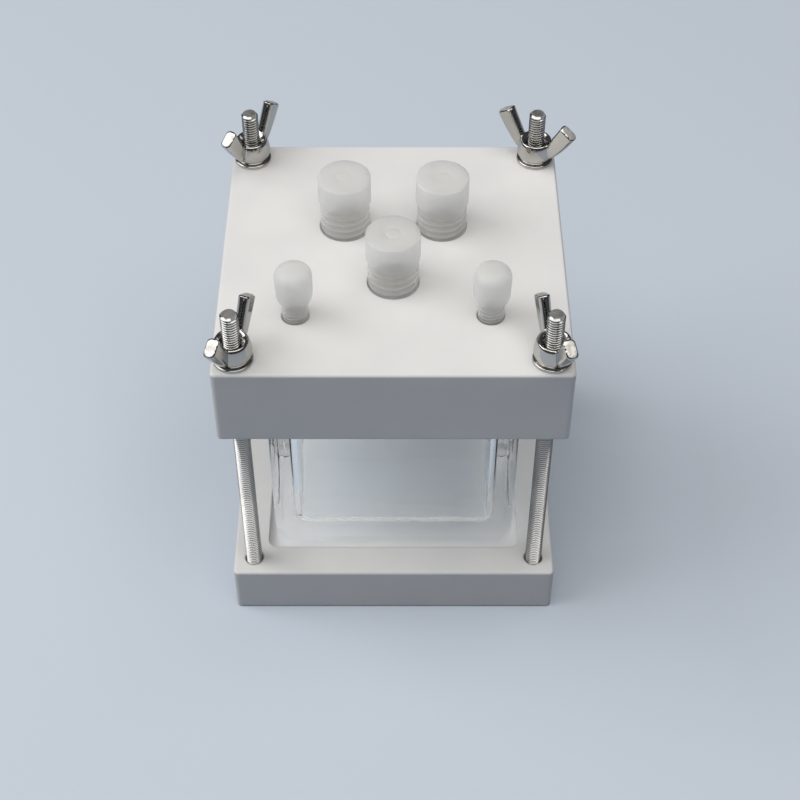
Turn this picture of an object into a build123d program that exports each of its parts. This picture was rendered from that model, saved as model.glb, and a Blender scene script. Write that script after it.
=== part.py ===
from build123d import *
import os
from math import cos, radians, sin

# Sealed square electrochemical cell: a glass tank clamped between two thick
# fluoropolymer plates by four threaded rods, with five screw plugs in the lid.
# Millimetres. Origin at the middle of the base's underside, +Z up, front towards -Y.

# Plates
rod_centre_distance = 70.0
rod_edge_distance = 5.0
plate_corner_radius = 1.2
plate_edge_chamfer = 0.4
base_thickness = 14.0
lid_thickness = 21.0

# Glass tank
tank_inner_side = 50.0
tank_inner_depth = 50.0
tank_wall = 5.0
tank_floor = 5.0
tank_outer_corner_radius = 4.0
tank_inner_corner_radius = 3.0
tank_rim_chamfer = 0.4

# Seats of the tank in the plates, and the flat gasket on its rim
base_pocket_depth = 2.0
base_pocket_clearance = 1.7
base_pocket_corner_radius = 2.5
lid_recess_depth = 5.0
lid_recess_clearance = 0.7
lid_recess_corner_radius = 3.0
gasket_thickness = 2.0

# Clamping rods, washers and nuts, all M4
rod_diameter = 4.0
rod_end_chamfer = 0.5
rod_above_lid = 13.9
rod_below_nut = 0.8
rod_hole_diameter = 4.6
thread_clearance = 0.05
washer_diameter = 9.0
washer_bore = 4.3
washer_thickness = 0.8
washer_edge_chamfer = 0.12
hex_across_flats = 7.0
hex_height = 3.2
hex_corner_chamfer = 0.4
counterbore_diameter = 9.0
counterbore_depth = 5.0

# Wing nut: barrel hub with a wide shallow cup, and two leaning wings that widen
# towards their tips
hub_foot_diameter = 7.5
hub_belly_diameter = 8.9
hub_belly_height = 2.3
hub_rim_diameter = 7.4
hub_height = 5.4
hub_lip_chamfer = 0.2
cup_diameter = 6.3
cup_depth = 1.0
wing_lean = 33.0
wing_length = 11.0
wing_tip_radius = 8.8
wing_tip_height = 10.8
wing_tip_width = 4.5
wing_tip_thickness = 2.8
wing_tip_round = 1.1
wing_tip_chamfer = 0.25
wing_root_width = 2.9
wing_root_thickness = 2.2
wing_root_round = 0.8
wing_angles = {
    "front_left": 68.0,
    "front_right": 107.0,
    "back_left": 57.0,
    "back_right": 146.0,
}

# Large screw plugs, M12 x 1.75, on a three-port circle
port_circle_radius = 13.2
port_circle_setback = 3.4
large_thread_diameter = 11.7
large_thread_pitch = 1.75
large_thread_groove = 0.8
large_thread_top = 6.1
large_thread_groove_count = 3
large_plug_engagement = 8.5
large_head_diameter = 12.5
large_head_bottom = 7.7
large_head_top = 14.6
large_head_round = 0.5
large_tip_chamfer = 0.9

# Small screw plugs, M6 x 1
small_port_side_distance = 22.0
small_port_front_distance = 21.0
small_thread_diameter = 6.0
small_thread_pitch = 1.0
small_thread_groove = 0.5
small_thread_top = 3.5
small_thread_groove_count = 3
small_plug_engagement = 8.5
small_head_diameter = 8.5
small_head_bottom = 4.3
small_head_side_bottom = 6.5
small_head_side_bottom_diameter = 8.2
small_head_side_top = 12.0
small_head_shoulder = 13.5
small_head_shoulder_diameter = 7.3
small_head_top = 14.2
small_head_face_diameter = 4.8
small_tip_chamfer = 0.6

port_clearance = 0.15
port_mouth_chamfer = 0.15
thread_flank_slope = 0.7

# Sizes and heights that follow
plate_side = rod_centre_distance + 2 * rod_edge_distance
tank_bottom = base_thickness - base_pocket_depth
tank_top = tank_bottom + tank_floor + tank_inner_depth
gasket_top = tank_top + gasket_thickness
lid_bottom = gasket_top - lid_recess_depth
lid_top = lid_bottom + lid_thickness
tank_outer_side = tank_inner_side + 2 * tank_wall
hex_bottom = counterbore_depth - hex_height
rod_bottom = hex_bottom - rod_below_nut
rod_top = lid_top + rod_above_lid
wing_nut_bottom = lid_top + washer_thickness
nut_bore_radius = rod_diameter / 2 + thread_clearance
large_port_radius = large_thread_diameter / 2 + port_clearance
small_port_radius = small_thread_diameter / 2 + port_clearance

corners = {
    "front_left": (-rod_centre_distance / 2, -rod_centre_distance / 2),
    "front_right": (rod_centre_distance / 2, -rod_centre_distance / 2),
    "back_left": (-rod_centre_distance / 2, rod_centre_distance / 2),
    "back_right": (rod_centre_distance / 2, rod_centre_distance / 2),
}
port_angles = {"centre": -90.0, "back_left": 150.0, "back_right": 30.0}
large_ports = {
    name: (
        port_circle_radius * cos(radians(angle)),
        port_circle_setback + port_circle_radius * sin(radians(angle)),
    )
    for name, angle in port_angles.items()
}
small_ports = {
    "left": (-small_port_side_distance, -small_port_front_distance),
    "right": (small_port_side_distance, -small_port_front_distance),
}

os.makedirs("parts", exist_ok=True)


def save(builder, name):
    builder.part.label = name
    export_step(builder.part, f"parts/{name}.step")


# Base plate: a block with a shallow pocket that the tank stands in, and four
# holes counterbored from below for the nuts
with BuildPart() as base_plate:
    with BuildSketch(Plane.XY):
        RectangleRounded(plate_side, plate_side, plate_corner_radius)
    extrude(amount=base_thickness)
    base_faces = base_plate.faces().sort_by(Axis.Z)
    chamfer(base_faces[0].edges() + base_faces[-1].edges(), plate_edge_chamfer)
    base_pocket_side = tank_outer_side + 2 * base_pocket_clearance
    with BuildSketch(Plane.XY.offset(base_thickness)):
        RectangleRounded(base_pocket_side, base_pocket_side, base_pocket_corner_radius)
    extrude(amount=-base_pocket_depth, mode=Mode.SUBTRACT)
    with Locations(Plane(origin=(0, 0, 0), x_dir=(1, 0, 0), z_dir=(0, 0, -1))):
        with GridLocations(rod_centre_distance, rod_centre_distance, 2, 2):
            CounterBoreHole(rod_hole_diameter / 2, counterbore_diameter / 2, counterbore_depth)
save(base_plate, "base_plate")


# Glass tank: a thick square jar with rounded corners inside and out, and a
# ground flat rim
with BuildPart() as glass_tank:
    with BuildSketch(Plane.XY.offset(tank_bottom)):
        RectangleRounded(tank_outer_side, tank_outer_side, tank_outer_corner_radius)
    extrude(amount=tank_floor + tank_inner_depth)
    with BuildSketch(Plane.XY.offset(tank_bottom + tank_floor)):
        RectangleRounded(tank_inner_side, tank_inner_side, tank_inner_corner_radius)
    extrude(amount=tank_inner_depth, mode=Mode.SUBTRACT)
    tank_floor_face = glass_tank.faces().filter_by(Axis.Z).sort_by(Axis.Z)[1]
    fillet(tank_floor_face.edges(), tank_inner_corner_radius * 0.99)
    chamfer(glass_tank.faces().sort_by(Axis.Z)[-1].edges(), tank_rim_chamfer)
save(glass_tank, "glass_tank")


# Gasket: a flat square ring between the tank's rim and the lid
with BuildPart() as lid_gasket:
    with BuildSketch(Plane.XY.offset(tank_top)):
        RectangleRounded(tank_outer_side, tank_outer_side, tank_outer_corner_radius)
        RectangleRounded(tank_inner_side, tank_inner_side, tank_inner_corner_radius, mode=Mode.SUBTRACT)
    extrude(amount=gasket_thickness)
save(lid_gasket, "lid_gasket")


# Lid: a thick block with a recess below that drops over the tank, three large
# and two small plug ports, and four clearance holes for the rods
with BuildPart() as lid_plate:
    with BuildSketch(Plane.XY.offset(lid_bottom)):
        RectangleRounded(plate_side, plate_side, plate_corner_radius)
    extrude(amount=lid_thickness)
    lid_faces = lid_plate.faces().sort_by(Axis.Z)
    chamfer(lid_faces[0].edges() + lid_faces[-1].edges(), plate_edge_chamfer)
    lid_recess_side = tank_outer_side + 2 * lid_recess_clearance
    with BuildSketch(Plane.XY.offset(lid_bottom)):
        RectangleRounded(lid_recess_side, lid_recess_side, lid_recess_corner_radius)
    extrude(amount=lid_recess_depth, mode=Mode.SUBTRACT)
    with Locations(Plane.XY.offset(lid_top)):
        with GridLocations(rod_centre_distance, rod_centre_distance, 2, 2):
            Hole(rod_hole_diameter / 2)
        with Locations(*large_ports.values()):
            CounterSinkHole(large_port_radius, large_port_radius + port_mouth_chamfer)
        with Locations(*small_ports.values()):
            CounterSinkHole(small_port_radius, small_port_radius + port_mouth_chamfer)
save(lid_plate, "lid_plate")


# Clamping rods: full-length studs with chamfered ends
for corner, place in corners.items():
    with BuildPart() as rod:
        with BuildSketch(Plane.XY.offset(rod_bottom)):
            with Locations(place):
                Circle(rod_diameter / 2)
        extrude(amount=rod_top - rod_bottom)
        chamfer(rod.edges().filter_by(GeomType.CIRCLE), rod_end_chamfer)
    save(rod, f"rod_{corner}")


# Hexagon nuts that hold the rods in the base's counterbores
for corner, place in corners.items():
    with BuildPart() as base_nut:
        with BuildSketch(Plane.XY.offset(hex_bottom)):
            with Locations(place):
                Circle(hex_across_flats / 2 / cos(radians(30)))
        extrude(amount=hex_height)
        chamfer(base_nut.edges().filter_by(GeomType.CIRCLE), hex_corner_chamfer)
        with BuildSketch(Plane.XY.offset(hex_bottom)):
            with Locations(place):
                RegularPolygon(hex_across_flats / 2, 6, major_radius=False)
        extrude(amount=hex_height, mode=Mode.INTERSECT)
        with BuildSketch(Plane.XY.offset(hex_bottom)):
            with Locations(place):
                Circle(nut_bore_radius)
        extrude(amount=hex_height, mode=Mode.SUBTRACT)
    save(base_nut, f"base_nut_{corner}")


# Flat washers on the lid
for corner, place in corners.items():
    with BuildPart() as washer:
        with BuildSketch(Plane.XY.offset(lid_top)):
            with Locations(place):
                Circle(washer_diameter / 2)
                Circle(washer_bore / 2, mode=Mode.SUBTRACT)
        extrude(amount=washer_thickness)
        washer_rim = washer.edges().filter_by(GeomType.CIRCLE).sort_by(SortBy.RADIUS)[-2:]
        chamfer(washer_rim, washer_edge_chamfer)
    save(washer, f"washer_{corner}")


def wing_nut(place, angle):
    """Wing nut on its washer at one corner, its wings turned to an angle from +X."""
    up = Vector(0, 0, 1)
    seat = Vector(*place, wing_nut_bottom)
    outward = Vector(cos(radians(angle)), sin(radians(angle)), 0)
    sideways = up.cross(outward)
    along_wing = outward * sin(radians(wing_lean)) + up * cos(radians(wing_lean))
    tip_centre = seat + outward * wing_tip_radius + up * wing_tip_height
    root_centre = tip_centre - along_wing * wing_length
    section = Plane(origin=seat, x_dir=(1, 0, 0), z_dir=(0, -1, 0))
    with BuildPart() as nut:
        with BuildSketch(Plane(origin=root_centre, x_dir=sideways, z_dir=along_wing)):
            RectangleRounded(wing_root_thickness, wing_root_width, wing_root_round)
        with BuildSketch(Plane(origin=tip_centre, x_dir=sideways, z_dir=along_wing)):
            RectangleRounded(wing_tip_thickness, wing_tip_width, wing_tip_round)
        loft(ruled=True)
        chamfer(nut.faces().sort_by(Axis(seat, along_wing))[-1].edges(), wing_tip_chamfer)
        mirror(about=Plane(origin=seat, z_dir=outward))
        with BuildSketch(section):
            with BuildLine():
                belly = ThreePointArc(
                    (hub_foot_diameter / 2, 0),
                    (hub_belly_diameter / 2, hub_belly_height),
                    (hub_rim_diameter / 2, hub_height - hub_lip_chamfer),
                )
                Polyline(
                    belly @ 1,
                    (hub_rim_diameter / 2 - hub_lip_chamfer, hub_height),
                    (0, hub_height),
                    (0, 0),
                    belly @ 0,
                )
            make_face()
        revolve(axis=Axis(seat, (0, 0, 1)))
        with BuildSketch(section):
            with BuildLine():
                Polyline(
                    (0, 0),
                    (nut_bore_radius, 0),
                    (nut_bore_radius, hub_height - cup_depth),
                    (cup_diameter / 2, hub_height),
                    (cup_diameter / 2, wing_tip_height),
                    (0, wing_tip_height),
                    close=True,
                )
            make_face()
        revolve(axis=Axis(seat, (0, 0, 1)), mode=Mode.SUBTRACT)
    return nut


for corner, place in corners.items():
    save(wing_nut(place, wing_angles[corner]), f"wing_nut_{corner}")


def screw_plug(place, outline, thread_radius, pitch, groove, groove_count, thread_top):
    """Moulded plug turned from an outline, from its tip in the lid to the top of its
    head, with the thread's upper turns as grooves round the exposed neck."""
    seat = Vector(*place, lid_top)
    section = Plane(origin=seat, x_dir=(1, 0, 0), z_dir=(0, -1, 0))
    with BuildPart() as plug:
        with BuildSketch(section):
            with BuildLine():
                Polyline((0, outline[0][1]), *outline, (0, outline[-1][1]), close=True)
            make_face()
        revolve(axis=Axis(seat, (0, 0, 1)))
        with BuildSketch(section):
            for turn in range(groove_count):
                height = thread_top - (turn + 0.5) * pitch
                half_width = groove * thread_flank_slope
                with BuildLine():
                    Polyline(
                        (thread_radius, height + half_width),
                        (thread_radius - groove, height),
                        (thread_radius, height - half_width),
                        close=True,
                    )
                make_face()
        revolve(axis=Axis(seat, (0, 0, 1)), mode=Mode.SUBTRACT)
    return plug


# Large plugs: a plain round head on an M12 thread
large_outline = [
    (large_thread_diameter / 2 - large_tip_chamfer, -large_plug_engagement),
    (large_thread_diameter / 2, large_tip_chamfer - large_plug_engagement),
    (large_thread_diameter / 2, large_head_bottom),
    (large_head_diameter / 2, large_head_bottom),
    (large_head_diameter / 2, large_head_top - large_head_round),
    (large_head_diameter / 2 - large_head_round, large_head_top),
]
for port, place in large_ports.items():
    plug = screw_plug(
        place,
        large_outline,
        large_thread_diameter / 2,
        large_thread_pitch,
        large_thread_groove,
        large_thread_groove_count,
        large_thread_top,
    )
    save(plug, f"large_plug_{port}")


# Small plugs: a head with a flared underside and a rounded shoulder, on an M6 thread
small_outline = [
    (small_thread_diameter / 2 - small_tip_chamfer, -small_plug_engagement),
    (small_thread_diameter / 2, small_tip_chamfer - small_plug_engagement),
    (small_thread_diameter / 2, small_head_bottom),
    (small_head_side_bottom_diameter / 2, small_head_side_bottom),
    (small_head_diameter / 2, small_head_side_top),
    (small_head_shoulder_diameter / 2, small_head_shoulder),
    (small_head_face_diameter / 2, small_head_top),
]
for port, place in small_ports.items():
    plug = screw_plug(
        place,
        small_outline,
        small_thread_diameter / 2,
        small_thread_pitch,
        small_thread_groove,
        small_thread_groove_count,
        small_thread_top,
    )
    save(plug, f"small_plug_{port}")
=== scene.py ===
import bpy
import math
import numpy as np
from mathutils import Matrix, Vector, noise


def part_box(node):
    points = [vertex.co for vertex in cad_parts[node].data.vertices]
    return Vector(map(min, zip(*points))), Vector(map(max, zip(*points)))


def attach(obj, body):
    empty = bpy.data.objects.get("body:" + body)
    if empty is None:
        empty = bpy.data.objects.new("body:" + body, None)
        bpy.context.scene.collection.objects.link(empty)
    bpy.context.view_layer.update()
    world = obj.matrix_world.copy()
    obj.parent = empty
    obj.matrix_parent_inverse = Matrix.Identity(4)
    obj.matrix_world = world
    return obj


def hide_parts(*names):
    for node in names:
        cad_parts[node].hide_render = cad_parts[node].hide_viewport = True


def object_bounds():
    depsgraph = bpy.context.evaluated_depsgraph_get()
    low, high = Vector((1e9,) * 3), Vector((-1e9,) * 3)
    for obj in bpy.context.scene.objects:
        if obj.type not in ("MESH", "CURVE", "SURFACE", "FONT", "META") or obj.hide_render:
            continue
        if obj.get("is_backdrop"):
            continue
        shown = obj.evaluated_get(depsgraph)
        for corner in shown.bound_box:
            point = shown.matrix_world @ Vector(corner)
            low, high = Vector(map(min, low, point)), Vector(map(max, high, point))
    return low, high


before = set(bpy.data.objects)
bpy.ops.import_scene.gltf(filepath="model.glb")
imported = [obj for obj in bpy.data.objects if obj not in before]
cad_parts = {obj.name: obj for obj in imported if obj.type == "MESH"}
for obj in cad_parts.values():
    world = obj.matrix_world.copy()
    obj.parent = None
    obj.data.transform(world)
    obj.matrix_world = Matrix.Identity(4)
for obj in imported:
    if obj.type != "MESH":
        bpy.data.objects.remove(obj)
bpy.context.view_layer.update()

# Base plate. One milled block of white fluoropolymer with a shallow square pocket
# for the tank. The cutter leaves faint tracks, and the edges are a little softer
# than the faces and painted paler, a painted highlight along them.
MM = 0.001
plastic_white = (0.83, 0.82, 0.80, 1.0)
plastic_shade = (0.78, 0.775, 0.765, 1.0)
painted_edge_highlight = (0.88, 0.88, 0.88, 1.0)
cutter_mark = 0.05 * MM
blotch_share = 0.06


def effect_group(name, numbers, outputs):
    """An empty shader node group with number inputs and typed outputs."""
    tree = bpy.data.node_groups.new(name, "ShaderNodeTree")
    for label, value in numbers.items():
        socket = tree.interface.new_socket(label, in_out="INPUT", socket_type="NodeSocketFloat")
        socket.default_value = value
    for label, kind in outputs.items():
        tree.interface.new_socket(label, in_out="OUTPUT", socket_type=kind)
    return tree, tree.nodes.new("NodeGroupInput"), tree.nodes.new("NodeGroupOutput")


def add(tree, kind, links=None, **settings):
    """Adds a node, sets its properties or sockets by name, and links what links names."""
    node = tree.nodes.new(kind)
    for key, value in settings.items():
        if hasattr(node, key):
            setattr(node, key, value)
        else:
            node.inputs[key.replace("_", " ")].default_value = value
    for key, source in (links or {}).items():
        tree.links.new(source, node.inputs[key])
    return node


grain, grain_in, grain_out = effect_group(
    "fine_grain",
    {"Scale": 400.0, "Spread": 0.5},
    {"Mask": "NodeSocketFloat", "Height": "NodeSocketFloat"},
)
place = add(grain, "ShaderNodeTexCoord")
cloud = add(
    grain,
    "ShaderNodeTexNoise",
    {"Vector": place.outputs["Object"], "Scale": grain_in.outputs["Scale"]},
    Detail=5.0,
)
blotch_scale = add(grain, "ShaderNodeMath", {0: grain_in.outputs["Scale"]}, operation="MULTIPLY")
blotch_scale.inputs[1].default_value = blotch_share
blotch = add(
    grain,
    "ShaderNodeTexNoise",
    {"Vector": place.outputs["Object"], "Scale": blotch_scale.outputs[0]},
    Detail=3.0,
)
patches = {"Value": blotch.outputs["Fac"]}
soft = add(grain, "ShaderNodeMapRange", patches, From_Min=0.3, From_Max=0.7)
spread = {0: soft.outputs[0], 1: grain_in.outputs["Spread"]}
scaled = add(grain, "ShaderNodeMath", spread, operation="MULTIPLY")
grain.links.new(scaled.outputs[0], grain_out.inputs["Mask"])
grain.links.new(cloud.outputs["Fac"], grain_out.inputs["Height"])

# Edge mask from a bevelled normal. Colours blended by it paint the edges paler: a painted
# highlight, which on steel is partly wear.
wear_and_glint, wear_in, wear_out = effect_group(
    "edge_wear_and_glint",
    {"Radius": 0.0004, "Sharpness": 8.0},
    {"Mask": "NodeSocketFloat", "Normal": "NodeSocketVector"},
)
face = add(wear_and_glint, "ShaderNodeNewGeometry")
rounded = add(wear_and_glint, "ShaderNodeBevel", {"Radius": wear_in.outputs["Radius"]}, samples=4)
both_ways = {0: face.outputs["Normal"], 1: rounded.outputs["Normal"]}
facing = add(wear_and_glint, "ShaderNodeVectorMath", both_ways, operation="DOT_PRODUCT")
turned = add(wear_and_glint, "ShaderNodeMath", {1: facing.outputs["Value"]}, operation="SUBTRACT")
turned.inputs[0].default_value = 1.0
sharpened = {0: turned.outputs[0], 1: wear_in.outputs["Sharpness"]}
strong = add(wear_and_glint, "ShaderNodeMath", sharpened, operation="MULTIPLY", use_clamp=True)
wear_and_glint.links.new(strong.outputs[0], wear_out.inputs["Mask"])
wear_and_glint.links.new(rounded.outputs["Normal"], wear_out.inputs["Normal"])


def material(name, **settings):
    """A new material with one Principled shader, its plain values set on its sockets."""
    made = bpy.data.materials.new(name)
    made.use_nodes = True
    shader = made.node_tree.nodes["Principled BSDF"]
    for key, value in settings.items():
        shader.inputs[key.replace("_", " ")].default_value = value
    return made, made.node_tree, shader


def effect(tree, group, **numbers):
    """Places a shared effect in a material with its own numbers."""
    node = tree.nodes.new("ShaderNodeGroup")
    node.node_tree = group
    for key, value in numbers.items():
        node.inputs[key].default_value = value
    return node


def blend_colours(tree, mask, first, second):
    """A colour that goes from first to second with a mask."""
    mix = tree.nodes.new("ShaderNodeMix")
    mix.data_type = "RGBA"
    tree.links.new(mask, mix.inputs["Factor"])
    for socket, colour in ((mix.inputs["A"], first), (mix.inputs["B"], second)):
        if isinstance(colour, bpy.types.NodeSocket):
            tree.links.new(colour, socket)
        else:
            socket.default_value = colour
    return mix.outputs["Result"]


def milled_plastic(name, track_scale, track_turn):
    """White fluoropolymer: faint straight cutter tracks, softened edges with a painted highlight.
    """
    made, tree, shader = material(
        name,
        Roughness=0.42,
        IOR=1.38,
        Subsurface_Weight=0.18,
        Subsurface_Radius=(1.0, 0.95, 0.85),
        Subsurface_Scale=0.0015,
    )
    cloudy = effect(tree, grain, Scale=900.0, Spread=1.0)
    edges = effect(tree, wear_and_glint, Radius=0.0006, Sharpness=5.0)
    body = blend_colours(tree, cloudy.outputs["Mask"], plastic_white, plastic_shade)
    # The paler edge colour is a painted highlight along the edges.
    colour = blend_colours(tree, edges.outputs["Mask"], body, painted_edge_highlight)
    tree.links.new(colour, shader.inputs["Base Color"])
    where = add(tree, "ShaderNodeTexCoord")
    turn = add(tree, "ShaderNodeMapping", {"Vector": where.outputs["Object"]})
    turn.inputs["Rotation"].default_value = (0.0, 0.0, track_turn)
    tracks = add(
        tree,
        "ShaderNodeTexWave",
        {"Vector": turn.outputs[0]},
        Scale=track_scale,
        Distortion=1.5,
        Detail=2.0,
    )
    rough = add(
        tree, "ShaderNodeMapRange", {"Value": cloudy.outputs["Height"]}, To_Min=0.36, To_Max=0.5
    )
    tree.links.new(rough.outputs[0], shader.inputs["Roughness"])
    under = {"Height": cloudy.outputs["Height"], "Normal": edges.outputs["Normal"]}
    fine = add(tree, "ShaderNodeBump", under, Strength=0.12, Distance=cutter_mark)
    over = {"Height": tracks.outputs["Fac"], "Normal": fine.outputs["Normal"]}
    cut = add(tree, "ShaderNodeBump", over, Strength=0.06, Distance=cutter_mark)
    tree.links.new(cut.outputs["Normal"], shader.inputs["Normal"])
    return made


def dress(node, finish):
    """Gives a CAD node its finish."""
    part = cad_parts[node]
    part.data.materials.clear()
    part.data.materials.append(finish)


dress("base_plate", milled_plastic("base_fluoropolymer", track_scale=260.0, track_turn=0.0))

# Base nuts. Plain stainless hexagon nuts sunk in counterbores under the base, where
# they hold the lower ends of the rods. Cold forged, with a dull bright finish.
corners = ("front_left", "front_right", "back_left", "back_right")
steel_grey = (0.58, 0.565, 0.54, 1.0)
steel_dark = (0.40, 0.39, 0.375, 1.0)
steel_edge_wear_and_glint = (0.75, 0.74, 0.72, 1.0)
steel_pit = 0.04 * MM


def stainless(name, roughness, bump, scale=1500.0, wear_radius=0.2 * MM):
    """Stainless steel with a cloudy polish, fine pits, and paler edges, partly wear and partly
    painted highlight.
    """
    made, tree, shader = material(name, Metallic=1.0, Roughness=roughness)
    cloudy = effect(tree, grain, Scale=scale, Spread=1.0)
    edges = effect(tree, wear_and_glint, Radius=wear_radius, Sharpness=4.0)
    body = blend_colours(tree, cloudy.outputs["Mask"], steel_grey, steel_dark)
    # Paler edges: partly wear, partly a painted highlight.
    colour = blend_colours(tree, edges.outputs["Mask"], body, steel_edge_wear_and_glint)
    tree.links.new(colour, shader.inputs["Base Color"])
    rough = add(
        tree,
        "ShaderNodeMapRange",
        {"Value": cloudy.outputs["Height"]},
        To_Min=roughness * 0.8,
        To_Max=roughness * 1.3,
    )
    tree.links.new(rough.outputs[0], shader.inputs["Roughness"])
    height = {"Height": cloudy.outputs["Height"]}
    pits = add(tree, "ShaderNodeBump", height, Strength=bump, Distance=steel_pit)
    tree.links.new(pits.outputs["Normal"], shader.inputs["Normal"])
    return made


nut_steel = stainless("nut_stainless", roughness=0.34, bump=0.2)
for corner in corners:
    dress(f"base_nut_{corner}", nut_steel)

# Clamping rods. Four M4 studs of stainless bar with the thread rolled over their
# whole length and the ends cut off and chamfered.
thread_pitch = 0.7 * MM
thread_depth = 0.43 * MM
thread_shape = ((0.0, 1.0), (0.12, 1.0), (0.26, 0.55), (0.42, 0.0), (0.7, 0.0), (0.86, 0.55))
thread_lead = math.radians(-60.0)
rod_columns = 30
end_step = 0.05 * MM
end_slope = 1.5
root_reach = 0.22 * MM
clean_end = 0.8 * MM
# The thread roots get a near-black steel: painted shade in the grooves.
root_shade_light = (0.09, 0.087, 0.083, 1.0)
root_shade_dark = (0.04, 0.039, 0.037, 1.0)
cut_light = (0.62, 0.61, 0.59, 1.0)
cut_dark = (0.36, 0.355, 0.345, 1.0)


def screw_mesh(name, centre, columns, below, thread, above):
    """A closed turned body: plain rings from its lower end, a helical thread, and plain
    rings to its upper end. Rings are (radius, height) pairs, and the thread says its
    bottom, turns, pitch, shape, and a function for its radius at a depth and height."""
    verts, faces = [], []
    turn = [thread_lead + math.tau * i / columns for i in range(columns)]

    def ring(radius, height):
        first = len(verts)
        verts.extend((radius * math.cos(a), radius * math.sin(a), height) for a in turn)
        return range(first, first + columns)

    def bridge(low, high):
        for i in range(columns):
            j = (i + 1) % columns
            faces.append((low[i], low[j], high[j], high[i]))

    rings = [ring(*pair) for pair in below]
    for low, high in zip(rings, rings[1:]):
        bridge(low, high)
    faces.append(tuple(reversed(rings[0])))
    steps = len(thread["shape"])
    rows = []
    for lap in range(thread["turns"]):
        for part, depth in thread["shape"]:
            first = len(verts)
            for i, angle in enumerate(turn):
                height = thread["bottom"] + thread["pitch"] * (lap + part + i / columns)
                radius = thread["radius"](depth, height)
                verts.append((radius * math.cos(angle), radius * math.sin(angle), height))
            rows.append(range(first, first + columns))
    last = columns - 1
    for low, high in zip(rows, rows[1:]):
        for i in range(last):
            faces.append((low[i], low[i + 1], high[i + 1], high[i]))
    for j in range(len(rows) - 1 - steps):
        faces.append((rows[j][last], rows[j + steps][0], rows[j + steps + 1][0], rows[j + 1][last]))
    start, end = rings[-1], rows[0]
    for i in range(last):
        faces.append((start[i], start[i + 1], end[i + 1], end[i]))
    faces.append((start[last], start[0], *(rows[j][0] for j in range(steps + 1)), end[last]))
    rings = [ring(*pair) for pair in above]
    start, end = rows[-1], rings[0]
    for i in range(last):
        faces.append((start[i], start[i + 1], end[i + 1], end[i]))
    side = [rows[j][last] for j in range(len(rows) - 1 - steps, len(rows))]
    faces.append((*side[:1], start[0], end[0], end[last], *reversed(side[1:])))
    for low, high in zip(rings, rings[1:]):
        bridge(low, high)
    faces.append(tuple(rings[-1]))
    verts = [(x + centre[0], y + centre[1], z) for x, y, z in verts]
    return piece(name, verts, faces)


def piece(name, verts, faces, sharp=35.0):
    """A new mesh object from its corners and faces, smooth except at sharp edges."""
    mesh = bpy.data.meshes.new(name)
    mesh.from_pydata([tuple(v) for v in verts], [], faces)
    mesh.update()
    mesh.polygons.foreach_set("use_smooth", [True] * len(mesh.polygons))
    mesh.set_sharp_from_angle(angle=math.radians(sharp))
    made = bpy.data.objects.new(name, mesh)
    bpy.context.scene.collection.objects.link(made)
    return made


def shade_roots(body, centre, reach, bottom, top):
    """Gives the faces at the bottom of a thread the body's second material, for painted shade."""
    for face in body.data.polygons:
        spots = [body.data.vertices[i].co for i in face.vertices]
        heights = [spot.z for spot in spots]
        widest = max(math.hypot(spot.x - centre[0], spot.y - centre[1]) for spot in spots)
        if widest < reach and bottom < min(heights) and max(heights) < top:
            face.material_index = 1


def torn_metal(name, light, dark, roughness, scale, tear=0.0):
    """Bare metal clouded between two colours, with torn marks as deep as tear."""
    made, tree, shader = material(name, Metallic=1.0, Roughness=roughness)
    cloudy = effect(tree, grain, Scale=scale, Spread=1.0)
    tint = blend_colours(tree, cloudy.outputs["Mask"], light, dark)
    tree.links.new(tint, shader.inputs["Base Color"])
    if tear:
        height = {"Height": cloudy.outputs["Mask"]}
        marks = add(tree, "ShaderNodeBump", height, Strength=0.4, Distance=tear)
        tree.links.new(marks.outputs["Normal"], shader.inputs["Normal"])
    return made


def middle(node):
    """The middle of a CAD node's box in plan, with its lowest and highest height."""
    low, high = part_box(node)
    return ((low.x + high.x) / 2, (low.y + high.y) / 2), low.z, high.z, (high.x - low.x) / 2


rod_steel = stainless("rolled_stainless", roughness=0.22, bump=0.08)
# Near-black steel for the thread roots, a painted shade.
painted_root_shade = torn_metal("thread_root_painted_shade", root_shade_light, root_shade_dark, roughness=0.5, scale=1500.0)
sawn_steel = torn_metal(
    "sawn_end", cut_light, cut_dark, roughness=0.5, scale=9000.0, tear=0.08 * MM
)
for corner in corners:
    centre, low, high, radius = middle(f"rod_{corner}")
    core = radius - thread_depth
    end = core - end_step
    laps = int((high - low - 2 * end_step) / thread_pitch) - 1
    start = high - end_step - thread_pitch * (laps + 1)

    def rod_radius(depth, height, low=low, high=high, radius=radius, end=end):
        bevel = min(height - low, high - height) * end_slope
        return min(radius - thread_depth * depth, end + max(bevel, 0.0))

    rod = screw_mesh(
        f"threaded_rod_{corner}",
        centre,
        rod_columns,
        [(end, low)],
        {
            "bottom": start,
            "turns": laps,
            "pitch": thread_pitch,
            "shape": thread_shape,
            "radius": rod_radius,
        },
        [(end, high)],
    )
    rod.data.materials.append(rod_steel)
    rod.data.materials.append(painted_root_shade)
    rod.data.materials.append(sawn_steel)
    shade_roots(rod, centre, core + root_reach, low + clean_end, high - clean_end)
    for face in rod.data.polygons:
        if len(face.vertices) == rod_columns:
            face.material_index = 2
    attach(rod, "cell")
    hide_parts(f"rod_{corner}")

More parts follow.
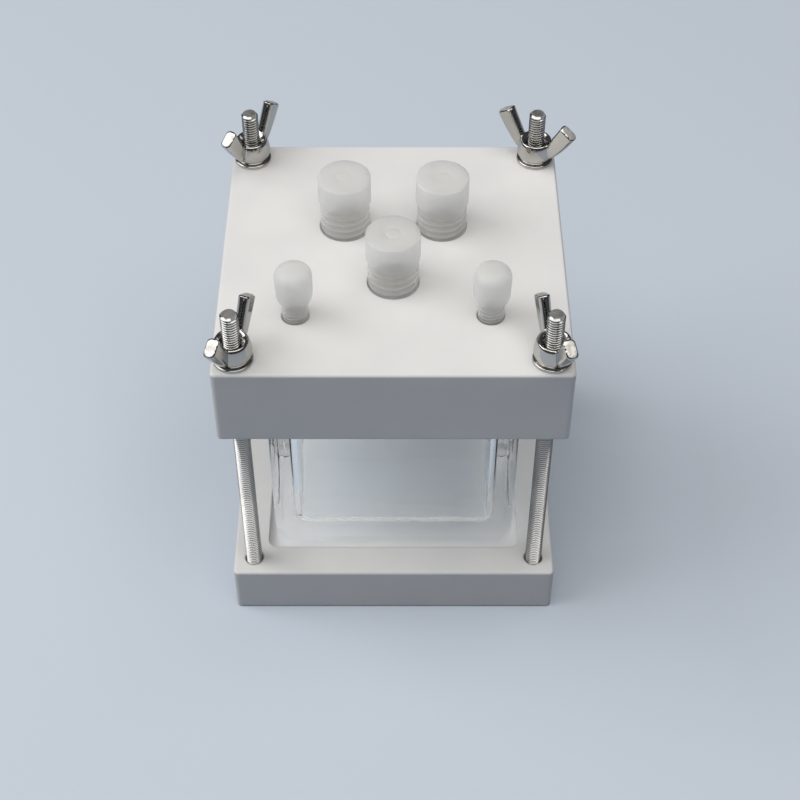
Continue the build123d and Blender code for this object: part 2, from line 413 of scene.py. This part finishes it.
# Glass tank. A thick square jar of clear laboratory glass, fused at its corners, with
# a ground rim. Its faces are never quite flat and its corners are uneven, which
# bends what is seen through them.
glass_tint = (0.95, 0.975, 0.995, 1.0)
glass_shadow = (0.93, 0.95, 0.97, 1.0)
tank_wall = 5.0 * MM
tank_floor = 5.0 * MM
tank_corner = 4.0 * MM
tank_inner_corner = 3.3 * MM
tank_fillet = 4.2 * MM
rim_bevel = 0.4 * MM
foot_round = 1.2 * MM
foot_corner_share = 0.6
bedding = 0.04 * MM
least_corner = 0.5 * MM
side_steps = 10
corner_steps = 12
foot_steps = 8
fillet_steps = 12
wall_levels = 90
face_wave = 0.012 * MM
wave_rate = (40, 40, 30)
seam_depth = 0.13 * MM
seam_fade = 6.0 * MM
seam_width = 0.9 * MM
bubble_rate = (300, 300, 850)
bubble_share = 0.3


def square_ring(side, corner, height):
    """Points round a square with rounded corners, the same number for any size."""
    half = side / 2 - corner
    next_corners = ((-1, 1), (-1, -1), (1, -1), (1, 1))
    points = []
    for quarter, (sx, sy) in enumerate(((1, 1), (-1, 1), (-1, -1), (1, -1))):
        for step in range(corner_steps + 1):
            angle = math.pi / 2 * (quarter + step / corner_steps)
            x, y = sx * half + corner * math.cos(angle), sy * half + corner * math.sin(angle)
            points.append((x, y, height))
        ax, ay = x, y
        nx, ny = next_corners[quarter]
        angle = math.pi / 2 * (quarter + 1)
        bx, by = nx * half + corner * math.cos(angle), ny * half + corner * math.sin(angle)
        for step in range(1, side_steps):
            t = step / side_steps
            points.append((ax + (bx - ax) * t, ay + (by - ay) * t, height))
    return points


def lofted(rings):
    """Corners and faces of a closed body through rings of as many points each."""
    count = len(rings[0])
    verts = [p for r in rings for p in r]
    faces = [tuple(reversed(range(count)))]
    for level in range(len(rings) - 1):
        below, above = level * count, (level + 1) * count
        for i in range(count):
            j = (i + 1) % count
            faces.append((below + i, below + j, above + j, above + i))
    faces.append(tuple(range((len(rings) - 1) * count, len(rings) * count)))
    return verts, faces


low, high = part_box("glass_tank")
outer = high.x - low.x
inner = outer - 2 * tank_wall
rings = []
for step in range(foot_steps + 1):
    angle = math.pi / 2 * step / foot_steps
    inset = foot_round * (1 - math.sin(angle))
    height = low.z + foot_round * (1 - math.cos(angle)) - bedding
    rings.append(square_ring(outer - 2 * inset, tank_corner - inset * foot_corner_share, height))
for step in range(1, wall_levels + 1):
    height = low.z + foot_round + (high.z - rim_bevel - low.z - foot_round) * step / wall_levels
    rings.append(square_ring(outer, tank_corner, height))
rings.append(square_ring(outer - 2 * rim_bevel, tank_corner - rim_bevel, high.z))
rings.append(square_ring(inner + 2 * rim_bevel, tank_inner_corner + rim_bevel, high.z))
floor_height = low.z + tank_floor
wall_top = high.z - rim_bevel
wall_foot = floor_height + tank_fillet
for step in range(wall_levels + 1):
    height = wall_top - (wall_top - wall_foot) * step / wall_levels
    rings.append(square_ring(inner, tank_inner_corner, height))
for step in range(1, fillet_steps + 1):
    angle = math.pi / 2 * step / fillet_steps
    inset = tank_fillet * (1 - math.cos(angle))
    corner = max(tank_inner_corner - inset, least_corner)
    height = floor_height + tank_fillet * (1 - math.sin(angle))
    rings.append(square_ring(inner - 2 * inset, corner, height))
verts, faces = lofted(rings)
inner_edge_reach = inner / 2 + tank_wall / 2
seam_spot = outer / 2 - tank_corner * (1 - math.sqrt(0.5))
for i, (x, y, z) in enumerate(verts):
    if wall_foot < z < wall_top:
        length = math.hypot(x, y)
        wave_spot = Vector([part * rate for part, rate in zip((x, y, z), wave_rate)])
        bend = face_wave * noise.noise(wave_spot)
        if max(abs(x), abs(y)) > inner_edge_reach:
            off_seam = math.hypot(abs(x) - seam_spot, abs(y) - seam_spot)
            closeness = max(0.0, 1.0 - off_seam / seam_width)
            bubble_spot = Vector([part * rate for part, rate in zip((x, y, z), bubble_rate)])
            bubble = max(0.0, bubble_share + noise.noise(bubble_spot))
            bend = -abs(bend) - seam_depth * closeness * bubble
        bend *= min(1.0, (z - wall_foot) / seam_fade)
        verts[i] = (x + x / length * bend, y + y / length * bend, z)
tank = piece("moulded_tank", verts, faces, sharp=40.0)
clear, tree, shader = material(
    "clear_glass",
    Base_Color=glass_tint,
    Roughness=0.015,
    IOR=1.473,
    Transmission_Weight=1.0,
)
cloudy = effect(tree, grain, Scale=60.0, Spread=1.0)
height = {"Height": cloudy.outputs["Height"]}
ripple = add(tree, "ShaderNodeBump", height, Strength=0.05, Distance=0.1 * MM)
tree.links.new(ripple.outputs["Normal"], shader.inputs["Normal"])
ray = add(tree, "ShaderNodeLightPath")
passing = add(tree, "ShaderNodeBsdfTransparent", Color=glass_shadow)
choice = {0: ray.outputs["Is Shadow Ray"], 1: shader.outputs[0], 2: passing.outputs[0]}
through = add(tree, "ShaderNodeMixShader", choice)
tree.links.new(through.outputs[0], tree.nodes["Material Output"].inputs["Surface"])
tank.data.materials.append(clear)
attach(tank, "cell")
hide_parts("glass_tank")

# Lid gasket. A flat square ring cut from soft silicone sheet, squeezed between the
# tank's rim and the lid.
silicone_pale = (0.80, 0.80, 0.77, 1.0)
silicone_dull = (0.72, 0.72, 0.70, 1.0)
rubber, tree, shader = material(
    "silicone_sheet", Roughness=0.5, Subsurface_Weight=0.3, Subsurface_Scale=0.001
)
cloudy = effect(tree, grain, Scale=1200.0, Spread=1.0)
tint = blend_colours(tree, cloudy.outputs["Mask"], silicone_pale, silicone_dull)
tree.links.new(tint, shader.inputs["Base Color"])
dress("lid_gasket", rubber)

# Lid plate. A thicker milled block of the same plastic as the base, with five
# threaded ports and a recess below that drops over the tank's rim.
lid_plastic = milled_plastic("lid_fluoropolymer", track_scale=240.0, track_turn=math.pi / 2)
dress("lid_plate", lid_plastic)

# Washers. Four flat stainless washers, stamped, so their upper outer edge is rolled
# over a little, lying on the lid under the wing nuts.
washer_hole = 2.15 * MM
rolled_edge = 0.3 * MM
burr_edge = 0.1 * MM
roll_angles = (0.0, 0.4, 0.8, 1.2, math.pi / 2)
washer_columns = 64
washer_steel = stainless("stamped_stainless", roughness=0.2, bump=0.12)


def ring_solid(loop, columns):
    """Corners and faces of a ring turned from a closed loop of (radius, height) pairs."""
    angles = [math.tau * i / columns for i in range(columns)]
    verts = [
        (radius * math.cos(angle), radius * math.sin(angle), height)
        for radius, height in loop
        for angle in angles
    ]
    faces = []
    for level in range(len(loop)):
        below = level * columns
        above = (level + 1) % len(loop) * columns
        for i in range(columns):
            j = (i + 1) % columns
            faces.append((below + i, below + j, above + j, above + i))
    return verts, faces


for corner in corners:
    node = f"washer_{corner}"
    centre, low, high, rim = middle(node)
    rolled = [
        (rim - rolled_edge * (1 - math.cos(a)), high - rolled_edge * (1 - math.sin(a)))
        for a in roll_angles
    ]
    underside = [(washer_hole, low), (rim - burr_edge, low), (rim, low + burr_edge)]
    hole_edge = [(washer_hole + burr_edge, high), (washer_hole, high - burr_edge)]
    verts, faces = ring_solid([*underside, *rolled, *hole_edge], washer_columns)
    verts = [(x + centre[0], y + centre[1], z) for x, y, z in verts]
    washer = piece(f"stamped_washer_{corner}", verts, faces)
    washer.data.materials.append(washer_steel)
    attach(washer, node)
    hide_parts(node)

# Wing nuts. Cast stainless, tumbled to a bright polish: a bellied hub with a wide
# shallow cup in its top, and two flat bars that lean out from it, widen, and end in
# rough faces where the gates were sheared off.
hub_bore = 2.05
hub_foot = 3.75
hub_belly = 4.45
hub_rim = 3.7
hub_height = 5.4
belly_height = 2.3
belly_lead = 2.1
belly_levels = (0.0, 0.4, 0.8, 1.3, 1.8, 2.3, 2.8, 3.3, 3.8, 4.3, 4.8)
cup_depth = 1.0
outer_edge = (
    (3.6, 0.7), (4.5, 1.25), (5.5, 2.2), (6.6, 3.55), (7.8, 5.15), (8.95, 6.85), (9.95, 8.45),
    (10.6, 9.55),
)
inner_edge = (
    (2.5, 3.9), (2.95, 4.75), (3.5, 5.65), (4.15, 6.85), (4.85, 8.2), (5.6, 9.6), (6.3, 10.95),
    (6.88, 12.0),
)
plain_ring = ((0.0, 0.0),)
tip_rings = ((0.0, 0.0), (0.3, 0.24), (0.5, 0.27))
root_thickness = 2.3
tip_thickness = 2.8
edge_round = 1.05
edge_steps = 5
fullest_round = 0.95
hub_columns = 72
nut_voxel = 0.13
relax_rounds = 4
wing_start = 7 * MM
tip_grain = 1.7
tip_rise = 0.06
tip_sink = 0.02
nut_apart = 9
torn_reach = -0.1
sheared_reach = 0.02
sheared_level = 0.93
torn_light = (0.93, 0.91, 0.87, 1.0)
torn_dark = (0.66, 0.64, 0.60, 1.0)


def wing_bar(side):
    """A wing as sections between its outer and inner edges, with rounded narrow sides."""
    rings = []
    steps = len(outer_edge) - 1
    for level, (outer, inner) in enumerate(zip(outer_edge, inner_edge)):
        thick = root_thickness + (tip_thickness - root_thickness) * level / steps
        across = Vector((outer[0] - inner[0], outer[1] - inner[1]))
        middle_point = (Vector(outer) + Vector(inner)) / 2
        for shrink, lift in plain_ring if level < steps else tip_rings:
            long_half = across.length / 2 - shrink
            thick_half = thick / 2 - shrink
            bend = min(edge_round, thick_half * fullest_round)
            ring = []
            for quarter, (sa, sb) in enumerate(((1, 1), (-1, 1), (-1, -1), (1, -1))):
                for step in range(edge_steps + 1):
                    angle = math.pi / 2 * (quarter + step / edge_steps)
                    a = sa * (long_half - bend) + bend * math.cos(angle)
                    b = sb * (thick_half - bend) + bend * math.sin(angle)
                    along = across.normalized()
                    ahead = Vector((along.y, -along.x)) * (-lift if along.x > 0 else lift)
                    spot = middle_point + along * a + ahead
                    ring.append((side * spot.x, side * b, spot.y))
            rings.append(ring)
    return lofted(rings)


def merged_mesh(name, solids, voxel, rounds):
    """One skin over overlapping solids, its inner corners softened as in a casting."""
    verts, faces = [], []
    for solid_verts, solid_faces in solids:
        first = len(verts)
        verts.extend(solid_verts)
        faces.extend(tuple(first + i for i in face) for face in solid_faces)
    rough = piece(name, verts, faces)
    skin = rough.modifiers.new("skin", "REMESH")
    skin.mode = "VOXEL"
    skin.voxel_size = voxel
    relax = rough.modifiers.new("relax", "SMOOTH")
    relax.factor = 0.5
    relax.iterations = rounds
    graph = bpy.context.evaluated_depsgraph_get()
    mesh = bpy.data.meshes.new_from_object(rough.evaluated_get(graph))
    bpy.data.objects.remove(rough)
    return mesh


def belly_radius(height):
    """The hub's radius at a height, widest at its belly."""
    if height <= belly_height:
        rise = math.sin(math.pi / 2 * (height / belly_height))
        return hub_foot + (hub_belly - hub_foot) * rise
    fall = math.cos(math.pi / 2 * (height - belly_height) / (hub_height - belly_lead))
    return hub_rim + (hub_belly - hub_rim) * fall


belly_arc = [(belly_radius(height), height) for height in belly_levels]
hub_lip = [
    (3.84, 5.1), (3.7, 5.32), (3.48, 5.4), (3.25, 5.35), (3.0, 5.18), (2.7, 4.9), (2.4, 4.65),
]
hub_loop = [(hub_bore, 0.0), *belly_arc, *hub_lip, (hub_bore, hub_height - cup_depth)]
solids = [ring_solid(hub_loop, hub_columns), wing_bar(1), wing_bar(-1)]
cast = merged_mesh("cast_wing_nut", solids, nut_voxel, relax_rounds)
cast_points = np.empty(len(cast.vertices) * 3)
cast.vertices.foreach_get("co", cast_points)
cast_points = cast_points.reshape(-1, 3)
wing_way = Vector([o - i for o, i in zip(outer_edge[-1], inner_edge[-1])]).normalized()
tip_way = np.array((-wing_way.y, 0.0, wing_way.x))
tip_level = outer_edge[-1][0] * tip_way[0] + outer_edge[-1][1] * tip_way[2]


def wing_direction(node, centre):
    """The angle from +X that a wing nut's wings point along, read from its solid."""
    spots = [v.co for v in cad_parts[node].data.vertices]
    arms = [(spot.x - centre[0], spot.y - centre[1]) for spot in spots]
    angles = [math.atan2(y, x) for x, y in arms if math.hypot(x, y) > wing_start]
    across = sum(math.sin(2 * a) for a in angles)
    along = sum(math.cos(2 * a) for a in angles)
    return 0.5 * math.atan2(across, along)


def tip_distance(points):
    """How far points on the casting lie beyond the flat of the nearer wing's tip."""
    return np.abs(points[:, 0]) * tip_way[0] + points[:, 2] * tip_way[2] - tip_level


polished = stainless(
    "tumbled_stainless", roughness=0.1, bump=0.25, scale=700.0, wear_radius=0.3 * MM
)
sheared = torn_metal(
    "sheared_tip", torn_light, torn_dark, roughness=0.6, scale=11000.0, tear=0.1 * MM
)
for number, corner in enumerate(corners):
    node = f"wing_nut_{corner}"
    low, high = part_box(node)
    centre = ((low.x + high.x) / 2, (low.y + high.y) / 2)
    angle = wing_direction(node, centre)
    points = cast_points.copy()
    for i in np.nonzero(tip_distance(points) > torn_reach)[0]:
        x, y, z = points[i]
        spot = Vector((x * tip_grain + number * nut_apart, y * tip_grain, z * tip_grain))
        torn_by = noise.noise(spot) * tip_rise - tip_sink
        points[i] += tip_way * np.array((math.copysign(1, x), 0, 1)) * torn_by
    turn = np.array(((math.cos(angle), -math.sin(angle)), (math.sin(angle), math.cos(angle))))
    points[:, :2] = points[:, :2] @ turn.T
    points = points * MM + np.array((centre[0], centre[1], low.z))
    mesh = cast.copy()
    mesh.name = f"wing_nut_casting_{corner}"
    mesh.vertices.foreach_set("co", points.ravel())
    mesh.update()
    mesh.polygons.foreach_set("use_smooth", [True] * len(mesh.polygons))
    middles = np.empty(len(mesh.polygons) * 3)
    cast.polygons.foreach_get("center", middles)
    middles = middles.reshape(-1, 3)
    facing = np.empty(len(mesh.polygons) * 3)
    cast.polygons.foreach_get("normal", facing)
    facing = facing.reshape(-1, 3)
    at_tip = tip_distance(middles) > sheared_reach
    outward = np.sign(middles[:, 0]) * facing[:, 0]
    level_face = outward * tip_way[0] + facing[:, 2] * tip_way[2] > sheared_level
    mesh.materials.append(polished)
    mesh.materials.append(sheared)
    mesh.polygons.foreach_set("material_index", (at_tip & level_face).astype(np.int32))
    wing_nut = bpy.data.objects.new(f"wing_nut_casting_{corner}", mesh)
    bpy.context.scene.collection.objects.link(wing_nut)
    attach(wing_nut, node)
    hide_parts(node)

# Screw plugs. Mouldings of natural translucent plastic, three large and two small:
# a plain head over a coarse thread, whose ridges are soft and fade out below it.
# The top colours are darker than the side colours: painted shade on upward faces.
milky_side = (0.99, 0.98, 0.94, 1.0)
milky_top_shaded = (0.80, 0.79, 0.765, 1.0)
# Darker plastic for the thread roots: a painted shadow in the grooves.
root_shadow_side = (0.88, 0.86, 0.81, 1.0)
root_shadow_top = (0.84, 0.82, 0.78, 1.0)
blotch_shade = 0.96
tip_radius = 1.0
end_taper = 0.6
tip_step = 0.3
clean_tip = 1.2 * MM
ridge_fade = 0.6
root_share = 0.35


def darker(colour):
    """The colour of plastic where it is blotched."""
    return tuple(blotch_shade * part for part in colour[:3]) + (1.0,)


def moulded_plastic(name, side, top):
    """Translucent plastic with a fine grain, and painted shade that makes its upward faces greyer.
    """
    made, tree, shader = material(
        name,
        Roughness=0.4,
        IOR=1.4,
        Subsurface_Weight=1.0,
        Subsurface_Radius=(1.0, 0.98, 0.9),
        Subsurface_Scale=0.006,
        Alpha=0.55,
    )
    cloudy = effect(tree, grain, Scale=500.0, Spread=1.0)
    facing = add(tree, "ShaderNodeNewGeometry")
    parts = add(tree, "ShaderNodeSeparateXYZ", {"Vector": facing.outputs["Normal"]})
    upward = add(tree, "ShaderNodeMapRange", {"Value": parts.outputs["Z"]}, From_Min=0.2)
    # Upward faces get the darker top colour, a painted shade.
    top_shaded = blend_colours(tree, upward.outputs[0], side, top)
    shaded = blend_colours(tree, upward.outputs[0], darker(side), darker(top))
    tint = blend_colours(tree, cloudy.outputs["Mask"], top_shaded, shaded)
    tree.links.new(tint, shader.inputs["Base Color"])
    height = {"Height": cloudy.outputs["Height"]}
    skin = add(tree, "ShaderNodeBump", height, Strength=0.15, Distance=0.1 * MM)
    tree.links.new(skin.outputs["Normal"], shader.inputs["Normal"])
    return made


milky = moulded_plastic("natural_plastic", milky_side, milky_top_shaded)
milky_root_shadow = moulded_plastic("thread_shadow", root_shadow_side, root_shadow_top)
large_head = (
    (5.85, 7.2), (5.88, 7.45), (6.1, 7.7), (6.22, 7.95), (6.25, 8.6), (6.25, 11.0), (6.25, 14.15),
    (6.2, 14.4), (6.06, 14.54), (5.85, 14.6), (4.0, 14.6), (2.0, 14.6), (1.85, 14.53), (1.6, 14.53),
    (1.45, 14.6), (0.6, 14.6),
)
small_head = (
    (3.0, 4.0), (3.02, 4.25), (3.25, 4.55), (3.68, 5.2), (3.95, 5.85), (4.1, 6.6), (4.17, 7.6),
    (4.22, 9.5), (4.25, 11.4), (4.22, 12.1), (4.08, 12.7), (3.8, 13.2), (3.35, 13.65),
    (2.8, 13.95), (2.4, 14.08), (2.2, 14.15), (1.2, 14.2), (0.4, 14.2),
)
# Each form is its head, then its thread's crest radius, depth, pitch and top above the
# lid, and the columns of its mesh.
large_form = (large_head, 5.85, 0.8, 1.75, 7.1, 72)
small_form = (small_head, 3.0, 0.48, 1.0, 3.9, 56)
plug_forms = {
    "large_plug_centre": large_form,
    "large_plug_back_left": large_form,
    "large_plug_back_right": large_form,
    "small_plug_left": small_form,
    "small_plug_right": small_form,
}
ridge_shape = (
    (0.0, 1.0), (0.1, 0.95), (0.24, 0.5), (0.38, 0.12), (0.5, 0.0), (0.8, 0.0), (0.91, 0.45),
)
lid_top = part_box("lid_plate")[1].z
for node, (head, crest, depth, pitch, top, columns) in plug_forms.items():
    centre, low, high, radius = middle(node)
    laps = int((top * MM + lid_top - low) / (pitch * MM)) - 1
    start = lid_top + (top - pitch * (laps + 1)) * MM

    def ridge(down, height, low=low, crest=crest, depth=depth, pitch=pitch, top=top):
        fade = (lid_top + top * MM - height) / (ridge_fade * pitch * MM)
        point = (crest - tip_step) * MM + max(height - low, 0.0)
        return min((crest - depth * down * min(1.0, max(0.0, fade))) * MM, point)

    plug = screw_mesh(
        f"moulded_{node}",
        centre,
        columns,
        [(tip_radius * MM, low), ((crest - end_taper) * MM, low)],
        {
            "bottom": start,
            "turns": laps,
            "pitch": pitch * MM,
            "shape": ridge_shape,
            "radius": ridge,
        },
        [(r * MM, lid_top + h * MM) for r, h in head],
    )
    plug.data.materials.append(milky)
    plug.data.materials.append(milky_root_shadow)
    # The faces at the thread's roots take the darker plastic, a painted shadow.
    reach = (crest - root_share * depth) * MM
    shade_roots(plug, centre, reach, low + clean_tip, lid_top + top * MM)
    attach(plug, node)
    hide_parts(node)

# Floor and light. A plain pale sheet under the cell, a large soft lamp overhead, a
# weaker one high on the left, and a dim even sky. The floor sends little light back
# up, so that the upright faces stay in shade.
floor_reach = 3.0
floor_seen = (0.60, 0.66, 0.74, 1.0)
floor_returned = (0.09, 0.14, 0.22, 1.0)
lamp_aim = (0, 0, 0.06)
sky_colour = (0.85, 0.9, 1.0, 1.0)
sky_strength = 0.08
sides = ((-1, -1), (1, -1), (1, 1), (-1, 1))
floor_corners = [(x * floor_reach, y * floor_reach, 0) for x, y in sides]
ground = piece("studio_floor", floor_corners, [(0, 1, 2, 3)])
ground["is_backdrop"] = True
paper, tree, shader = material("pale_paper", Roughness=0.85)
ray = add(tree, "ShaderNodeLightPath")
either = {0: ray.outputs["Is Camera Ray"], 1: ray.outputs["Is Glossy Ray"]}
seen = add(tree, "ShaderNodeMath", either, operation="MAXIMUM")
either = {0: seen.outputs[0], 1: ray.outputs["Is Transmission Ray"]}
seen = add(tree, "ShaderNodeMath", either, operation="MAXIMUM")
sheet = blend_colours(tree, seen.outputs[0], floor_returned, floor_seen)
tree.links.new(sheet, shader.inputs["Base Color"])
ground.data.materials.append(paper)


def lamp(name, place, aim, width, power, colour=(1.0, 1.0, 1.0)):
    """A square soft lamp at a place, aimed at a point."""
    light = bpy.data.lights.new(name, "AREA")
    light.size = width
    light.energy = power
    light.color = colour
    made = bpy.data.objects.new(name, light)
    made.location = place
    made.rotation_euler = (Vector(aim) - Vector(place)).to_track_quat("-Z", "Y").to_euler()
    bpy.context.scene.collection.objects.link(made)


lamp("overhead", (0.1, -0.35, 1.9), lamp_aim, width=2.0, power=26.5, colour=(1.0, 0.99, 0.965))
lamp("left", (-1.4, 0.0, 1.3), lamp_aim, width=1.5, power=19.0)
world = bpy.data.worlds.new("studio")
world.use_nodes = True
sky = world.node_tree.nodes["Background"]
sky.inputs["Color"].default_value = sky_colour
sky.inputs["Strength"].default_value = sky_strength
bpy.context.scene.world = world
bpy.context.scene.view_settings.view_transform = "Standard"

# Camera. It stands in front of the cell and looks down at it, as the photograph does.
# Its place, pitch, swing and tilt come from the corners of both plates.
camera_place = Vector((1.527, -282.572, 337.529)) * MM
camera_pitch = math.radians(47.004)
camera_yaw = 0.0001
camera_roll = 0.0004
focal_pixels = 1612.4
frame_pixels = 800
forward = Vector((
    math.sin(camera_yaw) * math.cos(camera_pitch),
    math.cos(camera_yaw) * math.cos(camera_pitch),
    -math.sin(camera_pitch),
))
level = Vector((math.cos(camera_yaw), -math.sin(camera_yaw), 0.0))
upright = level.cross(forward)
right = math.cos(camera_roll) * level + math.sin(camera_roll) * upright
up = math.cos(camera_roll) * upright - math.sin(camera_roll) * level
lens = bpy.data.cameras.new("camera")
lens.sensor_width = 36.0
lens.lens = lens.sensor_width * focal_pixels / frame_pixels
lens.clip_start = 0.01
lens.clip_end = 20.0
camera = bpy.data.objects.new("camera", lens)
facing_way = Matrix((right, up, -forward)).transposed().to_4x4()
camera.matrix_world = Matrix.Translation(camera_place) @ facing_way
bpy.context.scene.collection.objects.link(camera)
bpy.context.scene.camera = camera

low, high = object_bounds()
